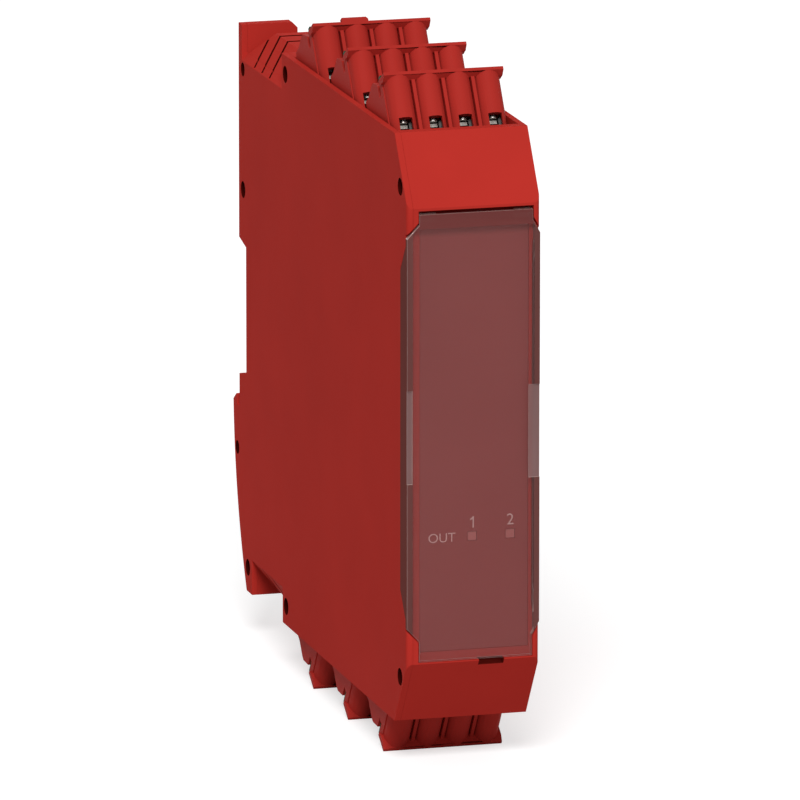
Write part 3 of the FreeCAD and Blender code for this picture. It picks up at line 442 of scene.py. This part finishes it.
def plug_place(end, row):
    """Where a row's own axes lie: Z out of the case, Y across the plug's thickness."""
    t = bpy.context.scene.relay_terminals
    node = "plug_%s_%s" % (end, row)
    low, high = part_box(node)
    lip_z = high.z if end == "top" else low.z
    middle = (low.x + high.x) / 2
    sign = 1.0 if end == "top" else -1.0
    out = Vector((0.0, math.sin(t.lean), sign * math.cos(t.lean)))
    back = Vector((0.0, math.cos(t.lean), -sign * math.sin(t.lean)))
    across = back.cross(out)
    turn = Matrix((across, back, out)).transposed().to_4x4()
    # the lip's edge is the plug's outermost point
    corners = [vertex.co for vertex in frame["nodes"][node].data.vertices]
    lip = max(corners, key=lambda p: (round(sign * p.z, 6), -p.y))
    return Matrix.Translation(Vector((middle, lip.y, lip_z))) @ turn


# ---------------------------------------------------------------- geometry nodes

def repeat_tree(name, inputs):
    """An empty geometry tree with named number inputs and a material input."""
    tree = bpy.data.node_groups.new(name, "GeometryNodeTree")
    tree.interface.new_socket("Geometry", in_out="INPUT", socket_type="NodeSocketGeometry")
    for label, default in inputs:
        kind = "NodeSocketInt" if isinstance(default, int) else "NodeSocketFloat"
        socket = tree.interface.new_socket(label, in_out="INPUT", socket_type=kind)
        socket.default_value = default
    tree.interface.new_socket("Material", in_out="INPUT", socket_type="NodeSocketMaterial")
    tree.interface.new_socket("Geometry", in_out="OUTPUT", socket_type="NodeSocketGeometry")
    return tree


def feed(tree, node, *values):
    """Sets a node's first inputs, from numbers or from other nodes' sockets."""
    for socket, value in zip(node.inputs, values):
        if isinstance(value, (int, float)):
            socket.default_value = value
        else:
            link(tree, value, socket)
    return node


def finish_tree(tree, geometry, source):
    """Realize the instances and set the material."""
    real = tree.nodes.new("GeometryNodeRealizeInstances")
    paint = tree.nodes.new("GeometryNodeSetMaterial")
    out = tree.nodes.new("NodeGroupOutput")
    link(tree, geometry, real.inputs["Geometry"])
    link(tree, real.outputs["Geometry"], paint.inputs["Geometry"])
    link(tree, source.outputs["Material"], paint.inputs["Material"])
    link(tree, paint.outputs["Geometry"], out.inputs["Geometry"])


def run_tree(tree, settings, material):
    """The mesh a tree makes from its settings, given by input name."""
    carrier = in_scene("carrier", bpy.data.meshes.new("carrier"))
    modifier = carrier.modifiers.new("Repeat", "NODES")
    modifier.node_group = tree
    for item in tree.interface.items_tree:
        if item.item_type != "SOCKET" or item.in_out != "INPUT":
            continue
        if item.name == "Material":
            modifier[item.identifier] = material
        elif item.name in settings:
            modifier[item.identifier] = settings[item.name]
    mesh = finished_mesh(carrier)
    bpy.data.objects.remove(carrier)
    return mesh


# ---------------------------------------------------------------- operators

class RELAY_OT_case(bpy.types.Operator):
    """Round and finish the moulded case and its loose side wall"""
    bl_idname = "relay.case"
    bl_label = "Housing"

    def execute(self, context):
        s = context.scene.relay_case
        red = moulded("Housing_red", s.red, s.roughness, shine=s.shine)
        shell = rounded_copy("housing", "Housing_half", s.edge, red)
        side = rounded_copy("side_cover", "Side_wall", s.edge, red)
        pegs = self.peg_places(shell, s)
        if not pegs:
            raise RuntimeError("no peg ends found in the housing")
        pegs += self.blind_holes(side, s)
        shade = moulded("Hole_shade", s.shade, 0.8, shine=0.0)
        for piece in (shell, side):
            self.darken(piece, pegs, shade, s)
            self.darken_vents(piece, s)
        self.darken_notch(shell, moulded("Notch_shade", s.notch, 0.8, shine=0.0))
        return {"FINISHED"}

    def darken_notch(self, shell, shade):
        """Shades the pry notch, which lies in the cover's shadow."""
        shell.data.materials.append(shade)
        low, high = NOTCH_BOX
        for face in shell.data.polygons:
            if all(low[i] < face.center[i] < high[i] for i in range(3)):
                face.material_index = 2

    def darken_vents(self, piece, s):
        """Shades the walls of the vent slots, which lean as the plugs do."""
        upright = math.cos(bpy.context.scene.relay_terminals.lean)
        for face in piece.data.polygons:
            spot, normal = face.center, face.normal
            in_vents = spot.y > s.vents_from and abs(spot.z) > s.vents_above
            leaning = abs(abs(normal.y) - upright) < 0.02
            if in_vents and leaning and normal.y * normal.z * spot.z < 0.0:
                face.material_index = 1

    def peg_depth(self, s):
        """Where the pegs' ends lie along X, a little inside the side wall's face."""
        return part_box("side_cover")[0].x + s.sunk

    def peg_places(self, shell, s):
        """Centres of the peg ends."""
        depth = self.peg_depth(s)
        spots = []
        for face in shell.data.polygons:
            at_depth = abs(face.center.x - depth) < 0.0001
            if face.normal.x < -FACING and at_depth and face.area > PEG_END:
                spots.append(face.center.copy())
        return spots

    def blind_holes(self, side, s):
        """The two holes near the fin and the foot that hold no peg."""
        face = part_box("side_cover")[0].x
        spots = [Vector((face, y, z)) for y, z in BLIND_HOLES]
        radius = s.hole * BLIND_SHARE
        work = bmesh.new()
        for spot in spots:
            turn = Matrix.Translation(spot) @ Matrix.Rotation(math.pi / 2, 4, "Y")
            bmesh.ops.create_cone(work, cap_ends=True, segments=28, radius1=radius,
                                  radius2=radius, depth=2 * s.sunk, matrix=turn)
        mesh = bpy.data.meshes.new("Drill")
        work.to_mesh(mesh)
        work.free()
        drill = in_scene("Drill", mesh)
        cut = side.modifiers.new("Holes", "BOOLEAN")
        cut.operation = "DIFFERENCE"
        cut.solver = "EXACT"
        cut.object = drill
        before = len(side.data.polygons)
        bake(side)
        bpy.data.objects.remove(drill)
        if len(side.data.polygons) <= before:
            raise RuntimeError("the side wall's blind holes weren't cut")
        even_shading(side)
        return spots

    def darken(self, piece, spots, shade, s):
        """Shades the faces inside the holes, which little light reaches."""
        piece.data.materials.append(shade)
        depth = self.peg_depth(s)
        for face in piece.data.polygons:
            floor = abs(face.center.x - depth) < 0.0002 and face.area < HOLE_FLOOR
            wall = face.center.x < depth + 0.0003 and face.area < HOLE_WALL
            near = min((face.center.yz - spot.yz).length for spot in spots)
            if (floor or wall) and near < s.hole + s.edge * 0.6:
                face.material_index = 1


class RELAY_OT_terminals(bpy.types.Operator):
    """Finish the six terminal plugs, their clamps and their board headers"""
    bl_idname = "relay.terminals"
    bl_label = "Terminals"

    def execute(self, context):
        s = context.scene.relay_terminals
        red = moulded("Plug_red", s.red, 0.5, shine=0.015)
        green = moulded("Header_green", s.green, 0.45)
        # painted shade: the cages' steel is made dark for the shade inside the plug chambers
        steel = plated("Cage_steel_shaded", (0.10, 0.095, 0.09), 0.45)
        tin = plated("Contact_tin", (0.36, 0.34, 0.31), 0.3)
        for end in ENDS:
            for row in ROWS:
                place = "%s_%s" % (end, row)
                rounded_copy("plug_" + place, "Plug_" + place, s.edge, red, angle=0.7)
                dress("cages_" + place, steel)
                dress("contacts_" + place, tin)
                dress("header_" + place, green)
                dress("pins_" + place, tin)
        return {"FINISHED"}


class RELAY_OT_screws(bpy.types.Operator):
    """Make the slotted pan-head clamp screws of every terminal row"""
    bl_idname = "relay.screws"
    bl_label = "Terminal screws"

    def execute(self, context):
        s = context.scene.relay_terminals
        zinc = plated("Screw_zinc", (0.50, 0.48, 0.45), 0.25, stretch=(1.0, 1.0, 1.0))
        tree = self.tree()
        for end in ENDS:
            for row in ROWS:
                settings = {
                    "Count": POLES, "Pitch": s.pole_pitch,
                    "Head radius": s.head_radius - s.head_play, "Head height": s.head_height,
                    "Head depth": s.head_sunk, "Shaft in": s.shaft_in,
                }
                mesh = run_tree(tree, settings, zinc)
                if not mesh.polygons:
                    raise RuntimeError("the screw tree made nothing")
                mesh.transform(plug_place(end, row))
                node = "screws_%s_%s" % (end, row)
                mesh.name = "Screws_%s_%s" % (end, row)
                piece = new_piece(mesh.name, mesh, body_of(node))
                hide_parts(node)
        return {"FINISHED"}

    def tree(self):
        """A row of screws: head, shank and driver slot, repeated along X."""
        tree = repeat_tree("Screw row", [
            ("Count", POLES), ("Pitch", 0.005), ("Head radius", 0.0015),
            ("Head height", 0.0017), ("Head depth", 0.0036), ("Shaft in", 0.00235)])
        new = tree.nodes.new
        source = new("NodeGroupInput")

        def maths(kind, a, b):
            """One operation on two numbers or sockets."""
            node = new("ShaderNodeMath")
            node.operation = kind
            return feed(tree, node, a, b).outputs[0]

        def vector(x, y, z):
            """A vector from three numbers or sockets."""
            return feed(tree, new("ShaderNodeCombineXYZ"), x, y, z).outputs[0]

        radius, height = source.outputs["Head radius"], source.outputs["Head height"]
        head = new("GeometryNodeMeshCylinder")
        head.inputs["Vertices"].default_value = 28
        link(tree, radius, head.inputs["Radius"])
        link(tree, height, head.inputs["Depth"])
        shank = new("GeometryNodeMeshCylinder")
        shank.inputs["Vertices"].default_value = 16
        link(tree, maths("MULTIPLY", radius, SHANK_SHARE), shank.inputs["Radius"])
        shank.inputs["Depth"].default_value = SHANK_LENGTH
        lower = new("GeometryNodeTransform")
        link(tree, shank.outputs["Mesh"], lower.inputs["Geometry"])
        drop = maths("SUBTRACT", maths("MULTIPLY", height, -0.5), SHANK_LENGTH / 2)
        link(tree, vector(0.0, 0.0, drop), lower.inputs["Translation"])
        slot = new("GeometryNodeMeshCube")
        size = vector(maths("MULTIPLY", radius, SLOT_WIDE), maths("MULTIPLY", radius, SLOT_LONG),
                      maths("MULTIPLY", height, SLOT_DEEP))
        link(tree, size, slot.inputs["Size"])
        raised = new("GeometryNodeTransform")
        link(tree, slot.outputs["Mesh"], raised.inputs["Geometry"])
        link(tree, vector(0.0, 0.0, maths("MULTIPLY", height, 0.5)), raised.inputs["Translation"])
        cut = new("GeometryNodeMeshBoolean")
        cut.operation = "DIFFERENCE"
        cut.solver = "EXACT"
        link(tree, head.outputs["Mesh"], cut.inputs["Mesh 1"])
        link(tree, raised.outputs["Geometry"], cut.inputs["Mesh 2"])
        whole = new("GeometryNodeJoinGeometry")
        link(tree, lower.outputs["Geometry"], whole.inputs["Geometry"])
        link(tree, cut.outputs["Mesh"], whole.inputs["Geometry"])
        row = new("GeometryNodeMeshLine")
        link(tree, source.outputs["Count"], row.inputs["Count"])
        gaps = maths("SUBTRACT", source.outputs["Count"], 1.0)
        span_x = maths("MULTIPLY", gaps, source.outputs["Pitch"])
        low = maths("SUBTRACT", maths("MULTIPLY", source.outputs["Head depth"], -1.0),
                    maths("MULTIPLY", height, 0.5))
        link(tree, vector(maths("MULTIPLY", span_x, -0.5), source.outputs["Shaft in"], low),
             row.inputs["Start Location"])
        link(tree, vector(source.outputs["Pitch"], 0.0, 0.0), row.inputs["Offset"])
        spread = new("GeometryNodeInstanceOnPoints")
        link(tree, row.outputs["Mesh"], spread.inputs["Points"])
        link(tree, whole.outputs["Geometry"], spread.inputs["Instance"])
        finish_tree(tree, spread.outputs["Instances"], source)
        return tree


class RELAY_OT_front(bpy.types.Operator):
    """Finish the printed plate, its lights and numbers, and the clear cover"""
    bl_idname = "relay.front"
    bl_label = "Front"

    def execute(self, context):
        s = context.scene.relay_front
        dress("front_plate", moulded("Plate_print", s.plate, 0.5, grain=9000.0,
                                     depth=0.0000004, spread=0.02))
        dress("light_guides", moulded("Light_guide", s.light, 0.3, grain=2500.0,
                                      depth=0.0000004, spread=0.03))
        dress("light_chips", moulded("Light_chip", (0.75, 0.72, 0.55), 0.35))
        self.print_words(s)
        self.clear_cover(s)
        return {"FINISHED"}

    def print_words(self, s):
        """The two numbers and the word on the front plate."""
        ink = moulded("Print_ink", s.ink, 0.55, grain=14000.0, depth=0.0000004, spread=0.03)
        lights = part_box("light_guides")
        size = lights[1].z - lights[0].z
        first, second = lights[0].x + size / 2, lights[1].x - size / 2
        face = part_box("front_plate")[0].y
        middle = (lights[0].z + lights[1].z) / 2
        words = [
            ("Print_one", "1", first, middle + s.figure_above, s.figure_height),
            ("Print_two", "2", second, middle + s.figure_above, s.figure_height),
            ("Print_out", "OUT", first - s.word_beside, middle - s.word_below, s.word_height),
        ]
        for name, text, x, z, height in words:
            mesh = self.figure_one(height) if text == "1" else self.lettering(text, height)
            upright = Matrix.Rotation(math.pi / 2, 4, "X")
            mesh.transform(Matrix.Translation((x, face - INK, z)) @ upright)
            mesh.name = name
            piece = new_piece(name, mesh, "case", ink)

    def lettering(self, text, height):
        """Flat letters as a mesh, centred and as tall as height."""
        curve = bpy.data.curves.new(text, "FONT")
        curve.body = text
        curve.size = height / CAPITAL
        curve.align_x = "CENTER"
        curve.align_y = "CENTER"
        curve.extrude = INK
        curve.offset = -THINNER
        word = in_scene(text, curve)
        mesh = finished_mesh(word)
        bpy.data.objects.remove(word)
        return mesh

    def figure_one(self, height):
        """The figure 1 as a stroke with a flag and no foot."""
        outline = [(0.03, -0.5), (0.14, -0.5), (0.14, 0.5), (0.06, 0.5), (-0.04, 0.36),
                   (-0.18, 0.29), (-0.18, 0.18), (0.03, 0.29)]
        count = len(outline)
        corners = [(x * height, y * height, z) for z in (INK, -INK) for x, y in outline]
        faces = [range(count), range(2 * count - 1, count - 1, -1)]
        for here in range(count):
            after = (here + 1) % count
            faces.append((here, here + count, after + count, after))
        mesh = bpy.data.meshes.new("Figure")
        mesh.from_pydata(corners, [], [tuple(face) for face in faces])
        return mesh

    def clear_cover(self, s):
        """The clear cover, with tints of their own for the places that catch other light: painted
        shade on the side flanks and a painted highlight on the rounded edges.
        """
        face = self.clear("Cover_clear", s.haze, s.veil)
        cover = rounded_copy("front_cover", "Front_cover", s.cover_edge, face, angle=0.6)
        tints = (
            ("Cover_flank_shade", s.flank, s.flank_veil, 0.002), ("Cover_band", s.band, s.band_veil, 0.1),
            ("Cover_grip", s.grip, s.grip_veil, 0.3), ("Cover_edge_highlight", s.rim_highlight, s.rim_highlight_veil, 0.9),
            ("Cover_side_shade", s.flank_side_shade, s.flank_veil, 0.002))
        for name, haze, veil, shine in tints:
            cover.data.materials.append(self.clear(name, haze, veil, shine))
        flank, band, grip, edge, side = range(1, 6)
        low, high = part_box("front_cover")
        left, right = low.x + s.flank_width, high.x - s.flank_width
        plate_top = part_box("front_plate")[1].z
        self.split(cover.data, [((left, 0, 0), (1, 0, 0)), ((right, 0, 0), (1, 0, 0)),
                                ((0, 0, plate_top), (0, 0, 1))])
        for part in cover.data.polygons:
            spot, normal = part.center, part.normal
            sunk = spot.y - low.y
            in_grip = GRIP_DEPTHS[0] < sunk < GRIP_DEPTHS[1] and abs(spot.z) < s.grip_half
            # the side flanks get painted shade, nearly opaque: one tint for the faces turned
            # sideways and one for the rest
            if not left < spot.x < right:
                part.material_index = side if abs(normal.x) > 0.7 else flank
            if spot.z > plate_top and sunk < BAND_DEPTH:
                part.material_index = band
            if normal.y < -FACING and in_grip:
                part.material_index = grip
            # the rounded front edges get a painted highlight
            if max(abs(along) for along in normal) < ROUNDED and sunk < EDGE_DEPTH:
                part.material_index = edge

    def split(self, mesh, planes):
        """Cuts a mesh's faces along planes, so that each side can have its own material."""
        work = bmesh.new()
        work.from_mesh(mesh)
        for point, normal in planes:
            everything = work.verts[:] + work.edges[:] + work.faces[:]
            bmesh.ops.bisect_plane(work, geom=everything, dist=1e-7, plane_co=point,
                                   plane_no=normal)
        work.to_mesh(mesh)
        work.free()

    def clear(self, name, haze, veil, shine=0.3):
        """Clear plastic, as a thin tinted veil over what lies behind it."""
        material, tree, shader = new_material(name)
        slow = object_pattern(tree, 60.0, 3.0)
        fine = object_pattern(tree, 900.0, 2.0)
        link(tree, tint(tree, slow, haze, 0.06), shader.inputs["Base Color"])
        link(tree, span(tree, fine, 0.06, 0.12), shader.inputs["Roughness"])
        shader.inputs["Alpha"].default_value = veil
        shader.inputs["IOR"].default_value = 1.49
        shader.inputs["Specular IOR Level"].default_value = shine
        return material


class RELAY_OT_inside(bpy.types.Operator):
    """Finish the boards and everything that stands on them"""
    bl_idname = "relay.inside"
    bl_label = "Inside"

    def execute(self, context):
        board = moulded("Board_lacquer", (0.02, 0.12, 0.05), 0.3, grain=1800.0, depth=0.00001,
                        spread=0.15, coat=0.3)
        dress("main_board", board)
        dress("light_board", board)
        dress("logic_chips", moulded("Chip_epoxy", (0.018, 0.018, 0.02), 0.55, grain=3000.0,
                                     depth=0.00002))
        dress("capacitors", plated("Can_aluminium", (0.72, 0.72, 0.74), 0.3))
        white = moulded("Relay_white", (0.72, 0.72, 0.67), 0.4)
        for number in range(1, RELAYS + 1):
            dress("relay_%d" % number, white)
        return {"FINISHED"}


class RELAY_OT_rail_side(bpy.types.Operator):
    """Finish the bus socket, the foot catch and its spring"""
    bl_idname = "relay.rail_side"
    bl_label = "Rail side"

    def execute(self, context):
        s = context.scene.relay_case
        dress("bus_socket", moulded("Socket_black", (0.02, 0.02, 0.021), 0.42))
        dress("bus_contacts", bpy.data.materials["Contact_tin"])
        rounded_copy("foot_catch", "Foot_catch", s.catch_edge, bpy.data.materials["Housing_red"])
        steel = plated("Spring_steel", (0.6, 0.6, 0.6), 0.24)
        spring = rounded_copy("catch_spring", "Spring_strip", s.spring_edge, steel)
        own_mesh(spring)
        return {"FINISHED"}


class RELAY_OT_stage(bpy.types.Operator):
    """Set the floor, the lamps and the camera"""
    bl_idname = "relay.stage"
    bl_label = "Stage"

    def execute(self, context):
        scene = context.scene
        s = scene.relay_stage
        self.floor(s, CAD_BOX[0][2])
        self.world(scene, s)
        self.sun(s)
        self.camera(scene, s)
        return {"FINISHED"}

    def floor(self, s, height):
        """A floor that is seen white and keeps the part's shadow."""
        mesh = bpy.data.meshes.new("Floor")
        half, pale = s.floor_half, s.floor
        corners = [(-half, -half, height), (half, -half, height),
                   (half, half, height), (-half, half, height)]
        mesh.from_pydata(corners, [], [(0, 1, 2, 3)])
        floor = in_scene("Floor", mesh)
        material = bpy.data.materials.new("Floor_white")
        material.use_nodes = True
        tree = material.node_tree
        tree.nodes.clear()
        out = tree.nodes.new("ShaderNodeOutputMaterial")
        plain = tree.nodes.new("ShaderNodeBsdfDiffuse")
        plain.inputs["Color"].default_value = (pale, pale, pale, 1.0)
        glow = tree.nodes.new("ShaderNodeEmission")
        glow.inputs["Color"].default_value = WHITE
        glow.inputs["Strength"].default_value = s.floor_glow
        both = tree.nodes.new("ShaderNodeAddShader")
        pick = tree.nodes.new("ShaderNodeMixShader")
        link(tree, seen_rays(tree), pick.inputs["Fac"])
        link(tree, plain.outputs[0], both.inputs[0])
        link(tree, glow.outputs[0], both.inputs[1])
        link(tree, plain.outputs[0], pick.inputs[1])
        link(tree, both.outputs[0], pick.inputs[2])
        link(tree, pick.outputs[0], out.inputs["Surface"])
        mesh.materials.append(material)

    def world(self, scene, s):
        """Soft light all round, and a white backdrop where it is seen."""
        world = bpy.data.worlds.new("Studio")
        scene.world = world
        world.use_nodes = True
        tree = world.node_tree
        tree.nodes.clear()
        out = tree.nodes.new("ShaderNodeOutputWorld")
        pick = tree.nodes.new("ShaderNodeMixShader")
        link(tree, seen_rays(tree), pick.inputs["Fac"])
        for place, strength in ((1, s.sky), (2, 1.0)):
            light = tree.nodes.new("ShaderNodeBackground")
            light.inputs["Color"].default_value = WHITE
            light.inputs["Strength"].default_value = strength
            link(tree, light.outputs[0], pick.inputs[place])
        link(tree, pick.outputs[0], out.inputs["Surface"])
        scene.view_settings.view_transform = "Standard"

    def sun(self, s):
        """The main light, wide enough for a soft shadow."""
        data = bpy.data.lights.new("Sun", "SUN")
        data.energy = s.sun
        data.angle = s.sun_spread
        lamp = in_scene("Sun", data)
        lamp.rotation_euler = SUN_FROM.to_track_quat("Z", "Y").to_euler()

    def camera(self, scene, s):
        """The camera, far off and with a long lens."""
        data = bpy.data.cameras.new("Camera")
        camera = in_scene("Camera", data)
        scene.camera = camera
        a, e = s.azimuth, s.elevation
        back = Vector((math.sin(a) * math.cos(e), -math.cos(a) * math.cos(e), math.sin(e)))
        camera.location = VIEW_MIDDLE + back * s.distance
        camera.rotation_euler = (-back).to_track_quat("-Z", "Y").to_euler()
        data.sensor_width = 36.0
        data.lens = LENS
        data.shift_x, data.shift_y = SHIFT
        data.clip_end = 30.0
        data.dof.use_dof = False


class RELAY_PT_panel(bpy.types.Panel):
    """Lists the steps that dress the relay"""
    bl_label = "Safety relay"
    bl_idname = "RELAY_PT_panel"
    bl_space_type = "VIEW_3D"
    bl_region_type = "UI"
    bl_category = "Relay"

    def draw(self, context):
        """One button for each step."""
        for step in STEPS:
            self.layout.operator(step.bl_idname)


STEPS = (RELAY_OT_case, RELAY_OT_terminals, RELAY_OT_screws, RELAY_OT_front,
         RELAY_OT_inside, RELAY_OT_rail_side, RELAY_OT_stage)
GROUPS = (("relay_case", RelayCaseSettings), ("relay_terminals", RelayTerminalSettings),
          ("relay_front", RelayFrontSettings), ("relay_stage", RelayStageSettings))


def register():
    """Registers the settings, the steps and the panel."""
    for name, group in GROUPS:
        bpy.utils.register_class(group)
        setattr(bpy.types.Scene, name, bpy.props.PointerProperty(type=group))
    for step in STEPS:
        bpy.utils.register_class(step)
    bpy.utils.register_class(RELAY_PT_panel)


def unregister():
    """Takes back what register() does."""
    bpy.utils.unregister_class(RELAY_PT_panel)
    for step in reversed(STEPS):
        bpy.utils.unregister_class(step)
    for name, group in reversed(GROUPS):
        delattr(bpy.types.Scene, name)
        bpy.utils.unregister_class(group)


def main():
    """Runs every step in order."""
    register()
    bpy.ops.relay.case()
    bpy.ops.relay.terminals()
    bpy.ops.relay.screws()
    bpy.ops.relay.front()
    bpy.ops.relay.inside()
    bpy.ops.relay.rail_side()
    bpy.ops.relay.stage()


if __name__ == "__main__":
    main()
